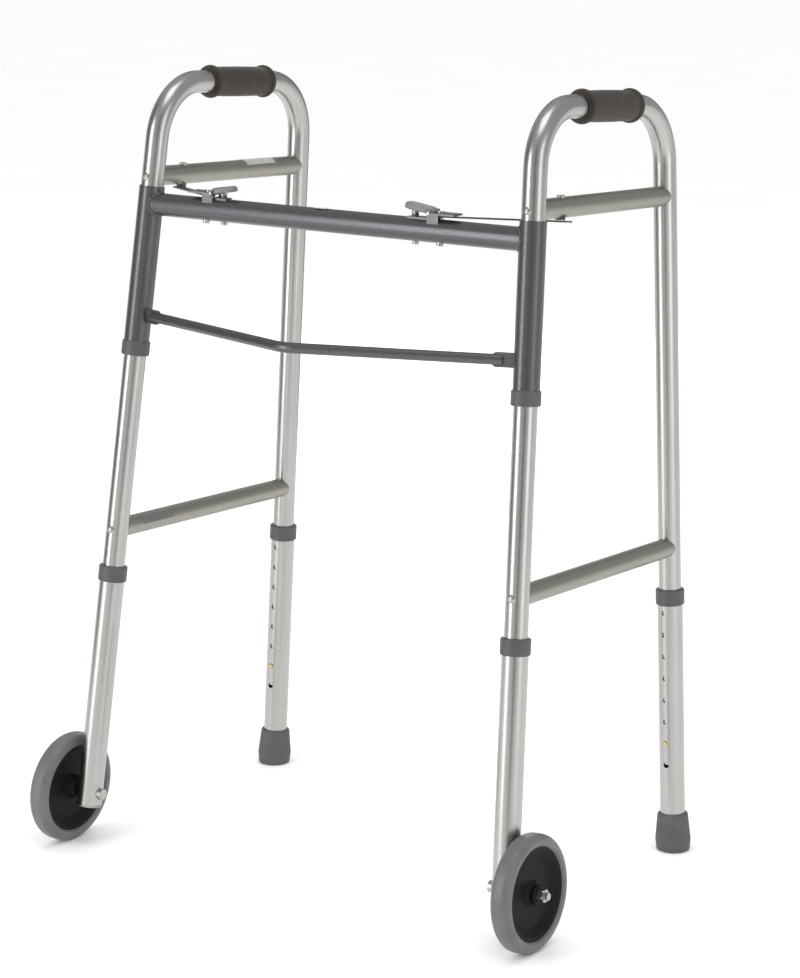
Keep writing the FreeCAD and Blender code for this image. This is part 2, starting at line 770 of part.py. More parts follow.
# ---- fold latches ----------------------------------------------------------------------------
class Latch:
    """One side's fold latch, always worked out on the right."""

    def __init__(self, side):
        sizes = latches[side]
        self.pivot_x = leg_x_at_bar - sizes["pivot"]
        self.stud_x = self.pivot_x - sizes["stud"]
        self.paddle_end_x = self.pivot_x - sizes["paddle_end"]
        self.paddle_x = self.pivot_x - paddle_axis_inboard
        self.pivot = bar_centre + Vector(self.pivot_x, 0, link_level)
        # the link's plane is square to the leg's axis and holds the pivot
        foot = front_point(0)
        reach = (self.pivot - foot).dot(front_axis)
        self.on_leg = foot + front_axis * reach
        self.bolt = self.on_leg + front_rearward * link_bolt_radius
        # the bolt comes nearest to the pivot when the side is folded
        reach = (self.pivot - self.on_leg).Length
        turn = math.sin(math.radians(sizes["fold"]))
        self.closest_bolt = math.sqrt(reach ** 2 + link_bolt_radius ** 2
                                      - 2 * reach * link_bolt_radius * turn)

    def at(self, x, y, z):
        """A point given by its X, and by y and z from the crossbar's axis."""
        return Vector(x, bar_centre.y + y, bar_centre.z + z)

    def stud_hole(self):
        bore = stud_diameter + 2 * slip_gap
        return cylinder(self.at(self.stud_x, 0, -cut_reach), self.at(self.stud_x, 0, cut_reach),
                        bore)

    def pivot_hole(self):
        return cylinder(self.pivot - front_axis * cut_reach, self.pivot, pivot_pin_diameter)

    def link(self):
        """A flat bar from the crossbar's pivot to the bolt, slotted for the bolt's slide."""
        span = (self.bolt - self.pivot).Length
        half = link_width / 2
        half_thick = link_thickness / 2
        toe_x = span + link_tail - half
        bar = box(Vector(0, -half, -half_thick), Vector(toe_x, half, half_thick))
        heel = Part.makeCylinder(half, link_thickness, Vector(0, 0, -half_thick))
        toe = Part.makeCylinder(half, link_thickness, Vector(toe_x, 0, -half_thick))
        body = bar.fuse([heel, toe])
        hole = pivot_pin_diameter / 2 + slip_gap
        body = body.cut(Part.makeCylinder(hole, 4 * half_thick, Vector(0, 0, -2 * half_thick)))
        slot_start = self.closest_bolt
        slot = link_slot_width / 2
        gap = box(Vector(slot_start, -slot, -2 * half_thick), Vector(span, slot, 2 * half_thick))
        ends = [Part.makeCylinder(slot, 4 * half_thick, Vector(x, 0, -2 * half_thick))
                for x in (slot_start, span)]
        body = body.cut(gap.fuse(ends))
        return solid_of(placed(body, frame_of(self.pivot, self.bolt - self.pivot, front_axis)))

    def pivot_rivet(self):
        top = self.cap_point(bracket_cap_top)
        head_top = top + front_axis * pivot_head_height
        shank_end = self.cap_point(-crossbar_tube / 2 - pivot_tail_stand)
        body = cylinder(shank_end, head_top, pivot_pin_diameter)
        tail = cylinder(shank_end, shank_end + front_axis * pivot_tail_length, pivot_tail_diameter)
        tail = max(tail.cut(self.bar_cutter()).Solids, key=lambda s: s.Volume)
        head = cylinder(top - front_axis * pivot_head_sink, head_top, pivot_head_diameter)
        head = max(head.cut(self.cap_slab()).Solids, key=lambda s: s.BoundBox.ZMax)
        return solid_of(body.fuse([head, tail]))

    def cap_point(self, level):
        """The point on the pivot's axis at this height over the crossbar's axis."""
        rise = (level - link_level) / front_axis.z
        return self.pivot + front_axis * rise

    def bar_cutter(self):
        ends = Vector(foot_half_width, 0, 0)
        return cylinder(bar_centre - ends, bar_centre + ends, crossbar_tube)

    def cap_slab(self):
        return box(self.at(self.pivot_x - bracket_cap_inboard, -bracket_half_width,
                           bracket_cap_bottom),
                   self.at(self.pivot_x + bracket_cap_outboard, bracket_half_width - bracket_wall,
                           bracket_cap_top))

    def bracket(self):
        """The folded plate on the crossbar: strip, two ears, front wall and cap."""
        top = crossbar_tube / 2 + bracket_plate
        ear_low = self.paddle_x - bracket_ear_length / 2
        ear_high = self.paddle_x + bracket_ear_length / 2
        wide = bracket_half_width
        skirt = bracket_skirt_level
        strip = box(self.at(self.stud_x - bracket_strip_past_stud, -bracket_strip_half_width,
                            crossbar_tube / 2 - bracket_wall),
                    self.at(ear_high, bracket_strip_half_width, top))
        saddle = box(self.at(ear_low, -wide, skirt), self.at(ear_high, wide, top))
        ears = [box(self.at(ear_low, y, skirt), self.at(ear_high, y + bracket_wall, bracket_ear_top))
                for y in (-wide, wide - bracket_wall)]
        wall = box(self.at(ear_low, -wide, skirt),
                   self.at(self.pivot_x + bracket_wall_outboard, -wide + bracket_wall,
                           bracket_cap_top))
        body = strip.fuse([saddle] + ears + [wall, self.cap_slab()])
        body = body.cut(self.bar_cutter())
        body = max(body.Solids, key=lambda s: s.Volume)
        body = body.cut(cylinder(self.pivot - front_axis * cut_reach,
                                 self.pivot + front_axis * cut_reach, pivot_pin_diameter))
        body = body.cut(self.stud_hole())
        body = body.cut(self.paddle_pin())
        return solid_of(body)

    def paddle_pin(self):
        reach = bracket_half_width + paddle_pin_stand
        return cylinder(self.at(self.paddle_x, -reach, paddle_axis_level),
                        self.at(self.paddle_x, reach, paddle_axis_level), paddle_pin_diameter)

    def paddle_under(self, x):
        """Height of the paddle's underside over the crossbar's axis at this X."""
        return paddle_bottom_at_axis + (self.paddle_x - x) * tan_deg(paddle_tilt)

    def paddle(self):
        """An oval press pad that rises inboard from its pin."""
        tilt = math.radians(paddle_tilt)
        outer_x = self.pivot_x - paddle_outer_gap
        length = (outer_x - self.paddle_end_x) / math.cos(tilt)
        half = paddle_width / 2
        body = box(Vector(half, -half, 0), Vector(length - half, half, paddle_thickness))
        ends = [Part.makeCylinder(half, paddle_thickness, Vector(x, 0, 0))
                for x in (half, length - half)]
        body = body.fuse(ends).removeSplitter()
        top_edges = [e for e in body.Edges if e.BoundBox.ZMin > paddle_thickness - flat_tolerance]
        body = body.makeFillet(paddle_top_rounding, top_edges)
        low_edges = [e for e in body.Edges if e.BoundBox.ZMax < flat_tolerance]
        body = body.makeFillet(paddle_low_rounding, low_edges)
        start = self.at(outer_x, 0, self.paddle_under(outer_x))
        along = Vector(-math.cos(tilt), 0, math.sin(tilt))
        upward = Vector(math.sin(tilt), 0, math.cos(tilt))
        body = placed(body, frame_of(start, along, upward))
        width = bracket_half_width - bracket_wall - paddle_side_gap
        lug = cylinder(self.at(self.paddle_x, -width, paddle_axis_level),
                       self.at(self.paddle_x, width, paddle_axis_level), 2 * paddle_lug_radius)
        body = body.fuse(lug)
        slot = bracket_wall + 2 * paddle_side_gap
        for y in (-bracket_half_width - paddle_side_gap, width):
            body = body.cut(box(self.at(self.paddle_x - paddle_slot_half_length, y, 0),
                                self.at(self.paddle_x + paddle_slot_half_length, y + slot,
                                        paddle_slot_top)))
        bore = cylinder(self.at(self.paddle_x, -cut_reach, paddle_axis_level),
                        self.at(self.paddle_x, cut_reach, paddle_axis_level),
                        paddle_pin_diameter + 2 * slip_gap)
        body = body.cut(bore)
        return solid_of(max(body.Solids, key=lambda s: s.Volume))

    def stud_top(self):
        near = self.stud_x + stud_diameter / 2
        return self.paddle_under(near) - stud_gap

    def flange_top(self):
        return min(stud_flange_level, self.stud_top() - stud_flange_gap)

    def stud(self):
        low = -crossbar_tube / 2 - stud_tail
        body = cylinder(self.at(self.stud_x, 0, low), self.at(self.stud_x, 0, self.stud_top()),
                        stud_diameter)
        flange = cylinder(self.at(self.stud_x, 0, self.flange_top() - stud_flange_height),
                          self.at(self.stud_x, 0, self.flange_top()), stud_flange_diameter)
        clip_low = low + clip_inset
        clip = cylinder(self.at(self.stud_x, 0, clip_low),
                        self.at(self.stud_x, 0, clip_low + clip_thickness), clip_diameter)
        return solid_of(body.fuse([flange, clip]))

    def spring(self):
        low = crossbar_tube / 2 + bracket_plate
        high = self.flange_top() - stud_flange_height
        return tube(self.at(self.stud_x, 0, low), self.at(self.stud_x, 0, high),
                    spring_diameter, stud_diameter + 2 * spring_gap)

    def brace_axis_gap(self):
        """From the brace's axis down to the link's top face, along the bolt."""
        start = front_point(upper_brace_front)
        end = rear_point(upper_brace_rear)
        along = (end - start).normalize()
        square = along.cross(plane_out).normalize()
        return abs((start - self.bolt).dot(square) / front_axis.dot(square)) - link_thickness / 2

    def bolt_shape(self):
        """A bolt down through the upper brace; its end stops just over the link."""
        up = self.brace_axis_gap() + link_thickness / 2
        bottom = self.bolt + front_axis * (link_thickness / 2 + link_bolt_gap)
        top = self.bolt + front_axis * (up + brace_tube / 2 + link_bolt_head_stand)
        body = cylinder(bottom, top + front_axis, link_bolt_diameter)
        head = cylinder(top - front_axis * link_bolt_head_sink, top + front_axis * link_bolt_head_height,
                        link_bolt_head)
        rim = [e for e in head.Edges if e.BoundBox.ZMin > top.z]
        head = head.makeFillet(link_bolt_head_height - link_bolt_head_edge, rim)
        head = max(head.cut(self.brace_solid()).Solids, key=lambda s: s.BoundBox.ZMax)
        return solid_of(body.fuse(head))

    def brace_solid(self):
        return cylinder(front_point(upper_brace_front), rear_point(upper_brace_rear), brace_tube)

    def spacer(self):
        low = self.bolt + front_axis * (link_thickness / 2 + link_bolt_gap)
        high = self.bolt + front_axis * (self.brace_axis_gap() + link_thickness / 2)
        body = tube(low, high, spacer_diameter, link_bolt_diameter).cut(self.brace_solid())
        return min(body.Solids, key=lambda s: s.BoundBox.ZMin)


def upper_brace(latch):
    body = brace(upper_brace_front, upper_brace_rear)
    hole = cylinder(latch.bolt, latch.bolt + front_axis * 2 * cut_reach, link_bolt_diameter)
    return solid_of(body.cut(hole))


# ---- everything ------------------------------------------------------------------------------
add_pair("side_tube", side_tube())
add_pair("lower_brace", solid_of(brace(lower_brace_front, lower_brace_rear)))
add_pair("brace_rivets", brace_rivets())
add_pair("hand_grip", grip())
add_pair("sleeve_collar", sleeve_collar())
add_pair("front_extension_tube", front_extension_tube())
add_pair("rear_extension_tube", rear_extension_tube())
add_pair("front_extension_collar", extension_collar(front_point, front_collar_top))
add_pair("rear_extension_collar", extension_collar(rear_point, rear_collar_top))
add_pair("front_snap_button", snap_button(front_point, front_button_v, front_rearward))
add_pair("rear_snap_button", snap_button(rear_point, rear_button_v, rear_rearward * -1))
add_pair("snap_springs", Part.makeCompound([
    snap_spring(front_point, front_button_v, front_rearward),
    snap_spring(rear_point, rear_button_v, rear_rearward * -1)]))
add_pair("end_plug", end_plug())
add_pair("rear_tip", rear_tip())
add_pair("tyre", tyre())
add_pair("wheel_hub", hub())
add_pair("wheel_bush", wheel_bush())
add_pair("axle_bolt", axle_bolt())
add_pair("axle_nut", axle_nut())
add_pair("sleeve", sleeve())
add("crossbar", crossbar())
add("lower_rail", lower_rail())

pivot_rivets = []
paddle_pins = []
for side_name in latches:
    this_latch = Latch(side_name)
    pieces = {
        "upper_brace": upper_brace(this_latch),
        "link_arm": this_latch.link(),
        "link_bolt": this_latch.bolt_shape(),
        "link_spacer": this_latch.spacer(),
        "latch_bracket": this_latch.bracket(),
        "latch_paddle": this_latch.paddle(),
        "latch_stud": this_latch.stud(),
        "latch_spring": this_latch.spring(),
    }
    rivet_shape = this_latch.pivot_rivet()
    pin_shape = this_latch.paddle_pin()
    if side_name == "left":
        pieces = {name: mirrored(shape) for name, shape in pieces.items()}
        rivet_shape = mirrored(rivet_shape)
        pin_shape = mirrored(pin_shape)
    for name, shape in pieces.items():
        add(side_name + "_" + name, shape)
    pivot_rivets += rivet_shape.Solids
    paddle_pins += pin_shape.Solids
add("link_pivot_rivets", Part.makeCompound(pivot_rivets))
add("paddle_pins", Part.makeCompound(paddle_pins))

for node, shape in parts.items():
    shape.exportStep("parts/" + node + ".step")
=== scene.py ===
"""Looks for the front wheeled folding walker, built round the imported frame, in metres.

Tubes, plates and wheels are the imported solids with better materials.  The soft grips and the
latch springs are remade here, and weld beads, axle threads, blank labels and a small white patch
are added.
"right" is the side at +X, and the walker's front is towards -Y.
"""
import json
import math

import bmesh
import bpy
import numpy as np
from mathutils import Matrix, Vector


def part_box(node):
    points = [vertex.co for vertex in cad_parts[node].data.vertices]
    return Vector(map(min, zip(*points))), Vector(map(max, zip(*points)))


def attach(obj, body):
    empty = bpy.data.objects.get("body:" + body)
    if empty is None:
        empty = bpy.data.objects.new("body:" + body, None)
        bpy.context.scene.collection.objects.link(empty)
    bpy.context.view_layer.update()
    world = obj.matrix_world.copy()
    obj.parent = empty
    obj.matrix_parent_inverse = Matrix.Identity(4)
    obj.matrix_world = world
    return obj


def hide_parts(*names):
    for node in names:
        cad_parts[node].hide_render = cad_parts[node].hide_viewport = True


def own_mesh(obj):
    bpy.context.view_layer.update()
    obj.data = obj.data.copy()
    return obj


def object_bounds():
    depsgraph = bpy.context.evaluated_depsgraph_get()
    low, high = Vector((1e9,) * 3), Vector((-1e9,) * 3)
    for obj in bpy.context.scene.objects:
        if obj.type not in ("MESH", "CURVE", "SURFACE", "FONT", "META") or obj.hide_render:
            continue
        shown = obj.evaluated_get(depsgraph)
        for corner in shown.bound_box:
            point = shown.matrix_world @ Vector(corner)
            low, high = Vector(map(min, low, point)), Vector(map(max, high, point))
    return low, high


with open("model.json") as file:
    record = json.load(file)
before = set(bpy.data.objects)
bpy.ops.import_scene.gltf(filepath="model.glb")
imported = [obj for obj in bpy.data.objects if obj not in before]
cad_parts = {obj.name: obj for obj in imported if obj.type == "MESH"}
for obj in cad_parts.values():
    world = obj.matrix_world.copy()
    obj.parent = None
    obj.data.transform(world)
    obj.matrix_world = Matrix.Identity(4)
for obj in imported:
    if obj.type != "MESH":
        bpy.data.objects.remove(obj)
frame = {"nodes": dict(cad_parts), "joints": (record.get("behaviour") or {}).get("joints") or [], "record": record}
cad_low, cad_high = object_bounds()
nodes = frame["nodes"]
SIDES = ("right", "left")


# ---- measures taken from the frame -------------------------------------------------------------
END_FACE_DEPTH = 0.0004      # points this near to an end lie on its flat face


def joint(name):
    return next(j for j in frame["joints"] if j["name"] == name)


def corners(node):
    return [v.co.copy() for v in nodes[node].data.vertices]


def long_axis(node, from_ends=False):
    """The middle, direction and length of a long node; from_ends suits one with flat ends."""
    points = np.array(corners(node))
    centred = points - (points.min(0) + points.max(0)) / 2
    direction = np.linalg.eigh(centred.T @ centred)[1][:, 2]
    along = points @ direction
    middle = points.mean(0)
    if from_ends:
        first = points[along < along.min() + END_FACE_DEPTH].mean(0)
        second = points[along > along.max() - END_FACE_DEPTH].mean(0)
        direction = (second - first) / np.linalg.norm(second - first)
        middle = first
        along = points @ direction
    middle = middle + direction * ((along.min() + along.max()) / 2 - middle @ direction)
    return Vector(middle), Vector(direction), float(np.ptp(along))


# ---- material helpers --------------------------------------------------------------------------
class Paint:
    """A Principled material and short calls that wire nodes into it."""

    def __init__(self, name, colour, roughness, metallic=0.0, **sockets):
        self.material = bpy.data.materials.new(name)
        self.material.use_nodes = True
        self.tree = self.material.node_tree
        self.shader = self.tree.nodes["Principled BSDF"]
        self.shader.inputs["Base Color"].default_value = (*colour, 1)
        self.shader.inputs["Metallic"].default_value = metallic
        self.shader.inputs["Roughness"].default_value = roughness
        for socket, value in sockets.items():
            self.shader.inputs[socket.replace("_", " ")].default_value = value

    def node(self, kind, **inputs):
        made = self.tree.nodes.new("ShaderNode" + kind)
        for socket, value in inputs.items():
            made.inputs[socket].default_value = value
        return made

    def link(self, source, target):
        self.tree.links.new(source, target)

    def place(self, stretch=(1, 1, 1)):
        """Object coordinates in metres, stretched."""
        where = self.node("TexCoord")
        mapping = self.node("Mapping", Scale=stretch)
        self.link(where.outputs["Object"], mapping.inputs["Vector"])
        return mapping.outputs["Vector"]

    def noise(self, scale, detail, stretch=(1, 1, 1)):
        made = self.node("TexNoise", Scale=scale, Detail=detail)
        self.link(self.place(stretch), made.inputs["Vector"])
        return made.outputs["Fac"]

    def cells(self, scale):
        made = self.node("TexVoronoi", Scale=scale)
        made.feature = "SMOOTH_F1"
        self.link(self.place(), made.inputs["Vector"])
        return made.outputs["Distance"]

    def vary_colour(self, field, first, second, low=0.3, high=0.7):
        ramp = self.node("ValToRGB")
        ramp.color_ramp.elements[0].position = low
        ramp.color_ramp.elements[0].color = (*first, 1)
        ramp.color_ramp.elements[1].position = high
        ramp.color_ramp.elements[1].color = (*second, 1)
        self.link(field, ramp.inputs["Fac"])
        self.link(ramp.outputs["Color"], self.shader.inputs["Base Color"])

    def vary_roughness(self, field, low, high):
        spread = self.node("MapRange")
        spread.inputs["To Min"].default_value = low
        spread.inputs["To Max"].default_value = high
        self.link(field, spread.inputs["Value"])
        self.link(spread.outputs["Result"], self.shader.inputs["Roughness"])

    def bump(self, field, height, strength):
        """Raises the surface by the field; height is in metres. Calls add up."""
        raised = self.node("Bump", Strength=strength, Distance=height)
        self.link(field, raised.inputs["Height"])
        before = self.shader.inputs["Normal"]
        if before.is_linked:
            self.link(before.links[0].from_socket, raised.inputs["Normal"])
        self.link(raised.outputs["Normal"], before)


# ---- materials ---------------------------------------------------------------------------------
DRAWN_ALONG_LEG = (1, 1, 0.03)
DRAWN_ALONG_BRACE = (1, 0.03, 1)
HAMMER_CELLS = 620           # dimples per metre in the hammered coat


def shade(colour, share):
    return tuple(c * share for c in colour)


def anodised(name, colour, drawn, roughness):
    paint = Paint(name, colour, metallic=1.0, roughness=roughness)
    paint.vary_colour(paint.noise(scale=14, detail=4), shade(colour, 0.94), colour)
    paint.vary_roughness(paint.noise(scale=900, detail=2, stretch=drawn),
                         roughness - 0.05, roughness + 0.05)
    paint.bump(paint.noise(scale=1500, detail=2, stretch=drawn), height=0.00002, strength=0.5)
    return paint.material


def hammertone():
    paint = Paint("hammertone_coat", (0.1, 0.1, 0.108), metallic=0.62, roughness=0.32,
                  Coat_Weight=0.25, Coat_Roughness=0.2)
    paint.vary_colour(paint.cells(HAMMER_CELLS), (0.098, 0.096, 0.104), (0.07, 0.068, 0.075),
                      low=0.2, high=0.8)
    paint.bump(paint.cells(HAMMER_CELLS), height=0.00012, strength=0.6)
    paint.bump(paint.noise(scale=1400, detail=2), height=0.00004, strength=0.4)
    return paint.material


def plated(name, colour, roughness):
    paint = Paint(name, colour, metallic=1.0, roughness=roughness)
    paint.vary_colour(paint.noise(scale=220, detail=4), shade(colour, 0.82), colour)
    paint.vary_roughness(paint.noise(scale=700, detail=3), roughness - 0.07, roughness + 0.1)
    paint.bump(paint.noise(scale=2200, detail=2), height=0.00002, strength=0.5)
    return paint.material


def moulded(name, colour, roughness, grain=1800, height=0.00006, **sockets):
    paint = Paint(name, colour, roughness=roughness, **sockets)
    paint.vary_colour(paint.noise(scale=60, detail=4), shade(colour, 0.8), colour)
    paint.vary_roughness(paint.noise(scale=400, detail=3), roughness - 0.07, roughness + 0.08)
    paint.bump(paint.noise(scale=grain, detail=3), height=height, strength=0.6)
    return paint.material


def label_film(name, colour, roughness):
    return moulded(name, colour, roughness, grain=900, height=0.00002)


def foam():
    paint = Paint("grip_vinyl", (0.03, 0.024, 0.019), roughness=0.6, Sheen_Weight=0.05,
                  Sheen_Roughness=0.5, Specular_IOR_Level=0.35)
    paint.vary_colour(paint.noise(scale=90, detail=5), (0.024, 0.019, 0.015), (0.038, 0.031, 0.025))
    paint.vary_roughness(paint.noise(scale=500, detail=3), 0.52, 0.72)
    paint.bump(paint.noise(scale=2400, detail=4), height=0.00012, strength=0.7)
    return paint.material


def tyre_rubber():
    paint = Paint("tyre_polyurethane", (0.112, 0.107, 0.108), roughness=0.42,
                  Coat_Weight=0.12, Coat_Roughness=0.3)
    paint.vary_colour(paint.noise(scale=35, detail=5), (0.098, 0.093, 0.095), (0.125, 0.12, 0.121))
    paint.vary_roughness(paint.noise(scale=260, detail=4), 0.36, 0.52)
    paint.bump(paint.noise(scale=1300, detail=3), height=0.00005, strength=0.6)
    return paint.material


MATERIALS = {
    "anodised": anodised("anodised_tube", (0.47, 0.46, 0.445), DRAWN_ALONG_LEG, 0.29),
    "brace": anodised("anodised_brace", (0.345, 0.337, 0.3), DRAWN_ALONG_BRACE, 0.42),
    "hammertone": hammertone(),
    "zinc": plated("zinc_plate", (0.5, 0.49, 0.46), 0.36),
    "bracket": plated("bracket_plate", (0.19, 0.186, 0.178), 0.45),
    "spring_steel": plated("spring_steel", (0.5, 0.5, 0.51), 0.22),
    "brass": plated("brass_button", (0.7, 0.53, 0.27), 0.2),
    "grey_plastic": moulded("collar_plastic", (0.078, 0.073, 0.073), 0.48),
    "paddle_plastic": moulded("paddle_plastic", (0.17, 0.175, 0.165), 0.5),
    "black_plastic": moulded("hub_plastic", (0.009, 0.008, 0.0075), 0.55,
                             Specular_IOR_Level=0.14),
    "grip_foam": foam(),
    "tip_rubber": moulded("tip_rubber", (0.085, 0.08, 0.08), 0.6, grain=1100, height=0.0001),
    "tyre": tyre_rubber(),
    "label_pale": label_film("label_pale", (0.4, 0.4, 0.385), 0.5),
    # a white film for the small patch wrapped over the crossbar's top
    "crossbar_white_patch": label_film("crossbar_white_patch", (0.62, 0.62, 0.6), 0.5),
    "label_dark": label_film("label_dark", (0.13, 0.13, 0.125), 0.4),
}


def dress_frame():
    slots = {row["node"]: row["material_slot"] for row in frame["record"]["subparts"]}
    for name, piece in nodes.items():
        kind = slots[name]
        if name.endswith("_brace"):
            kind = "brace"
        if name.endswith("_latch_bracket") or name.endswith("_link_arm"):
            kind = "bracket"
        piece.data.materials.clear()
        piece.data.materials.append(MATERIALS[kind])


# ---- mesh helpers ------------------------------------------------------------------------------
SHARP_FROM = 38              # degrees between faces from which an edge shows sharp


def piece_of(name, vertices, faces, material, smooth=True):
    mesh = bpy.data.meshes.new(name)
    mesh.from_pydata([tuple(v) for v in vertices], [], faces)
    mesh.update()
    mesh.polygons.foreach_set("use_smooth", [smooth] * len(mesh.polygons))
    mesh.materials.append(material)
    made = bpy.data.objects.new(name, mesh)
    bpy.context.scene.collection.objects.link(made)
    return made


def square_to(direction):
    """Two unit directions square to this one and to each other."""
    helper = Vector((0, 0, 1)) if abs(direction.z) < 0.9 else Vector((0, 1, 0))
    first = direction.cross(helper).normalized()
    return first, direction.cross(first).normalized()


def turned(name, outline, middle, direction, kind, steps):
    """A closed outline of (along, radius) points, turned about an axis."""
    first, second = square_to(direction)
    vertices, faces = [], []
    count = len(outline)
    for k in range(steps):
        turn = 2 * math.pi * k / steps
        spoke = first * math.cos(turn) + second * math.sin(turn)
        for along, radius in outline:
            vertices.append(middle + direction * along + spoke * radius)
    for k in range(steps):
        for i in range(count):
            j, n = (i + 1) % count, (k + 1) % steps
            faces.append((k * count + i, k * count + j, n * count + j, n * count + i))
    made = piece_of(name, vertices, faces, MATERIALS[kind])
    fix_normals(made)
    return made


def swept(name, path, radii, kind, steps, closed=False):
    """A round wire along a path, with a radius for each point."""
    vertices, faces = [], []
    total = len(path)
    for i, point in enumerate(path):
        ahead = path[(i + 1) % total] if closed or i + 1 < total else point
        behind = path[i - 1] if closed or i else point
        first, second = square_to((ahead - behind).normalized())
        radius = radii[i]
        for k in range(steps):
            turn = 2 * math.pi * k / steps
            offset = first * math.cos(turn) + second * math.sin(turn)
            vertices.append(point + offset * radius)
    for i in range(total if closed else total - 1):
        j = (i + 1) % total
        for k in range(steps):
            n = (k + 1) % steps
            faces.append((i * steps + k, i * steps + n, j * steps + n, j * steps + k))
    if not closed:
        faces.append(tuple(range(steps)))
        faces.append(tuple(reversed(range((total - 1) * steps, total * steps))))
    made = piece_of(name, vertices, faces, MATERIALS[kind])
    fix_normals(made)
    return made


def fix_normals(made):
    work = bmesh.new()
    work.from_mesh(made.data)
    bmesh.ops.recalc_face_normals(work, faces=work.faces)
    work.to_mesh(made.data)
    work.free()
    made.data.set_sharp_from_angle(angle=math.radians(SHARP_FROM))


def arc(centre, radius, start, end, count):
    """Points (along, radius) of an arc; angles are in degrees from the axis direction."""
    turns = [math.radians(start + (end - start) * k / count) for k in range(count + 1)]
    return [(centre[0] + radius * math.cos(t), centre[1] + radius * math.sin(t)) for t in turns]


# ---- soft grips --------------------------------------------------------------------------------
TUBE_RADIUS = 0.0127
GRIP_BEAD = 0.0042           # radius of the rounded flange at each end
GRIP_LIP = 0.0022            # length of the short collar at each end
GRIP_LIP_WALL = 0.0021
GRIP_EDGE = 0.0007           # rounding of the lip's rim
GRIP_SPARE = 0.0006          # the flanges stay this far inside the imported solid
GRIP_BORE_GAP = 0.00004      # between the sleeve's bore and the tube
GRIP_WAIST_DEPTH = 0.0022    # from the flange's top down to the waist's ends
GRIP_WAIST_START = 0.0066    # from the flange's middle to the waist's end
GRIP_BARREL = 0.0005         # the waist's middle stands out this much
GRIP_EDGE_STEPS = 5
GRIP_BEAD_STEPS = 18
GRIP_WAIST_STEPS = 16
GRIP_ROUND_STEPS = 96


def grip(side):
    """A soft sleeve: thin lip, rounded flange, slightly barrelled waist, flange and lip."""
    node = side + "_hand_grip"
    middle, along, length = long_axis(node, from_ends=True)
    low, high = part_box(node)
    rim = (high.x - low.x) / 2 - GRIP_SPARE
    bore = TUBE_RADIUS + GRIP_BORE_GAP
    half = length / 2
    bead = half - GRIP_LIP - GRIP_BEAD
    waist = rim - GRIP_WAIST_DEPTH
    edge_middle = bore + GRIP_LIP_WALL - GRIP_EDGE
    outline = [(half, bore)]
    outline += arc((half - GRIP_EDGE, edge_middle), GRIP_EDGE, 0, 90, GRIP_EDGE_STEPS)
    outline += arc((bead, rim - GRIP_BEAD), GRIP_BEAD, -5, 150, GRIP_BEAD_STEPS)
    for k in range(GRIP_WAIST_STEPS + 1):
        share = 1 - 2 * k / GRIP_WAIST_STEPS
        outline.append((share * (bead - GRIP_WAIST_START), waist + GRIP_BARREL * (1 - share ** 2)))
    outline += arc((-bead, rim - GRIP_BEAD), GRIP_BEAD, 30, 185, GRIP_BEAD_STEPS)
    outline += arc((GRIP_EDGE - half, edge_middle), GRIP_EDGE, 90, 180, GRIP_EDGE_STEPS)
    outline.append((-half, bore))
    made = turned(side + "_grip_sleeve", outline, middle, along, "grip_foam", GRIP_ROUND_STEPS)
    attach(made, side + "_side")
    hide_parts(node)


# ---- latch springs -----------------------------------------------------------------------------
SPRING_WIRE = 0.00045
SPRING_TURNS = 5
SPRING_STEPS = 28            # points in each turn
SPRING_FLAT_SHARE = 0.1      # share of the wire that lies flat at each end


def latch_spring(side):
    """A coil round the stud that the paddle presses down; it is built at its resting length."""
    node = side + "_latch_spring"
    low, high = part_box(node)
    middle = (low + high) / 2
    radius = (high.x - low.x) / 2 - SPRING_WIRE
    height = high.z - low.z
    path = []
    total = SPRING_STEPS * SPRING_TURNS
    for k in range(total + 1):
        turn = 2 * math.pi * k / SPRING_STEPS
        climb = (k / total - SPRING_FLAT_SHARE) / (1 - 2 * SPRING_FLAT_SHARE)
        level = min(max(climb, 0), 1)
        z = low.z + SPRING_WIRE + (height - 2 * SPRING_WIRE) * level
        spoke = Vector((math.cos(turn), math.sin(turn), 0)) * radius
        path.append(Vector((middle.x, middle.y, z)) + spoke)
    made = swept(side + "_spring_coil", path, [SPRING_WIRE] * len(path), "spring_steel", steps=8)
    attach(made, "front_brace")
    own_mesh(made)
    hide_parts(node)


# ---- weld beads --------------------------------------------------------------------------------
OUTER_RADIUS = 0.0143
WELD_RADIUS = 0.0017
WELD_RIPPLES = 26
WELD_RIPPLE_STEPS = 6
WELD_RIPPLE_DEPTH = 0.16     # share of the bead's radius


def leg_axis(side):
    """A point on the front leg's axis and its direction, from the fold joint."""
    fold = joint(side + "_fold")
    direction = Vector(fold["axis"]).normalized()
    return Vector(fold["pos_m"]), direction if direction.z > 0 else -direction


def weld(name, side, y, z, radius):
    """A rippled bead where a bar along X, of this radius, meets the leg's sleeve."""
    foot, up = leg_axis(side)
    inward = -1 if side == "right" else 1
    count = WELD_RIPPLES * WELD_RIPPLE_STEPS
    path = []
    for k in range(count):
        turn = 2 * math.pi * k / count
        at = Vector((0, y + radius * math.cos(turn), z + radius * math.sin(turn)))
        # the distance from the leg's axis is the sleeve's radius: a quadratic in x
        rest = at - foot
        square = 1 - up.x ** 2
        middle = (rest.dot(up) * up.x - rest.x) / square
        miss = rest + Vector((middle, 0, 0))
        miss -= up * miss.dot(up)
        reach = math.sqrt(max(OUTER_RADIUS ** 2 - miss.length_squared, 0) / square)
        path.append(Vector((middle + inward * reach, at.y, at.z)))
    ripples = [abs(math.sin(math.pi * WELD_RIPPLES * k / count)) for k in range(count)]
    radii = [WELD_RADIUS * (1 + WELD_RIPPLE_DEPTH * ripple) for ripple in ripples]
    made = swept(name, path, radii, "hammertone", steps=10, closed=True)
    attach(made, "front_brace")


